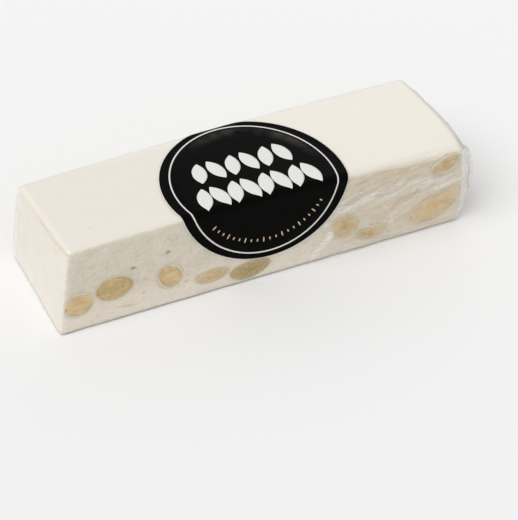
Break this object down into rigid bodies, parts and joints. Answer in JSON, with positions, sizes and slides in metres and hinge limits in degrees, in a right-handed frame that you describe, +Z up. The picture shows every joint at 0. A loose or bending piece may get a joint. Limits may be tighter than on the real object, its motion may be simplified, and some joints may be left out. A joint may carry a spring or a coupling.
{
  "type": "wrapped nougat bar",
  "caption": "Rectangular bar of white nougat with cut cashews in its long sides, wrapped in clear film folded in at both ends, with a round paper label bent over one long top edge.",
  "frame": {"origin": "centre of the bounding box's bottom face, on the plane that the bar lies on", "axes": "+X along the bar, +Y to its back, +Z up; the label turns down over the front, on the -Y side"},
  "size_m": [0.1474, 0.0414, 0.0333],
  "materials": {
    "nougat": "matte, fine grain",
    "nut": "satin, faintly streaked",
    "film": "clear, glossy, wrinkled",
    "label": "satin black print on white paper"
  },
  "bodies": {
    "root": {"nougat": "nougat", "cashew_front_1": "nut", "cashew_front_2": "nut", "cashew_front_3": "nut", "cashew_front_4": "nut", "cashew_front_5": "nut", "cashew_front_6": "nut", "cashew_front_7": "nut", "cashew_front_8": "nut", "cashew_front_9": "nut", "cashew_back_1": "nut", "cashew_back_2": "nut", "cashew_back_3": "nut", "cashew_back_4": "nut", "cashew_back_5": "nut", "cashew_back_6": "nut", "cashew_back_7": "nut", "cashew_back_8": "nut", "film_wrap": "film", "label": "label"}
  },
  "joints": []
}
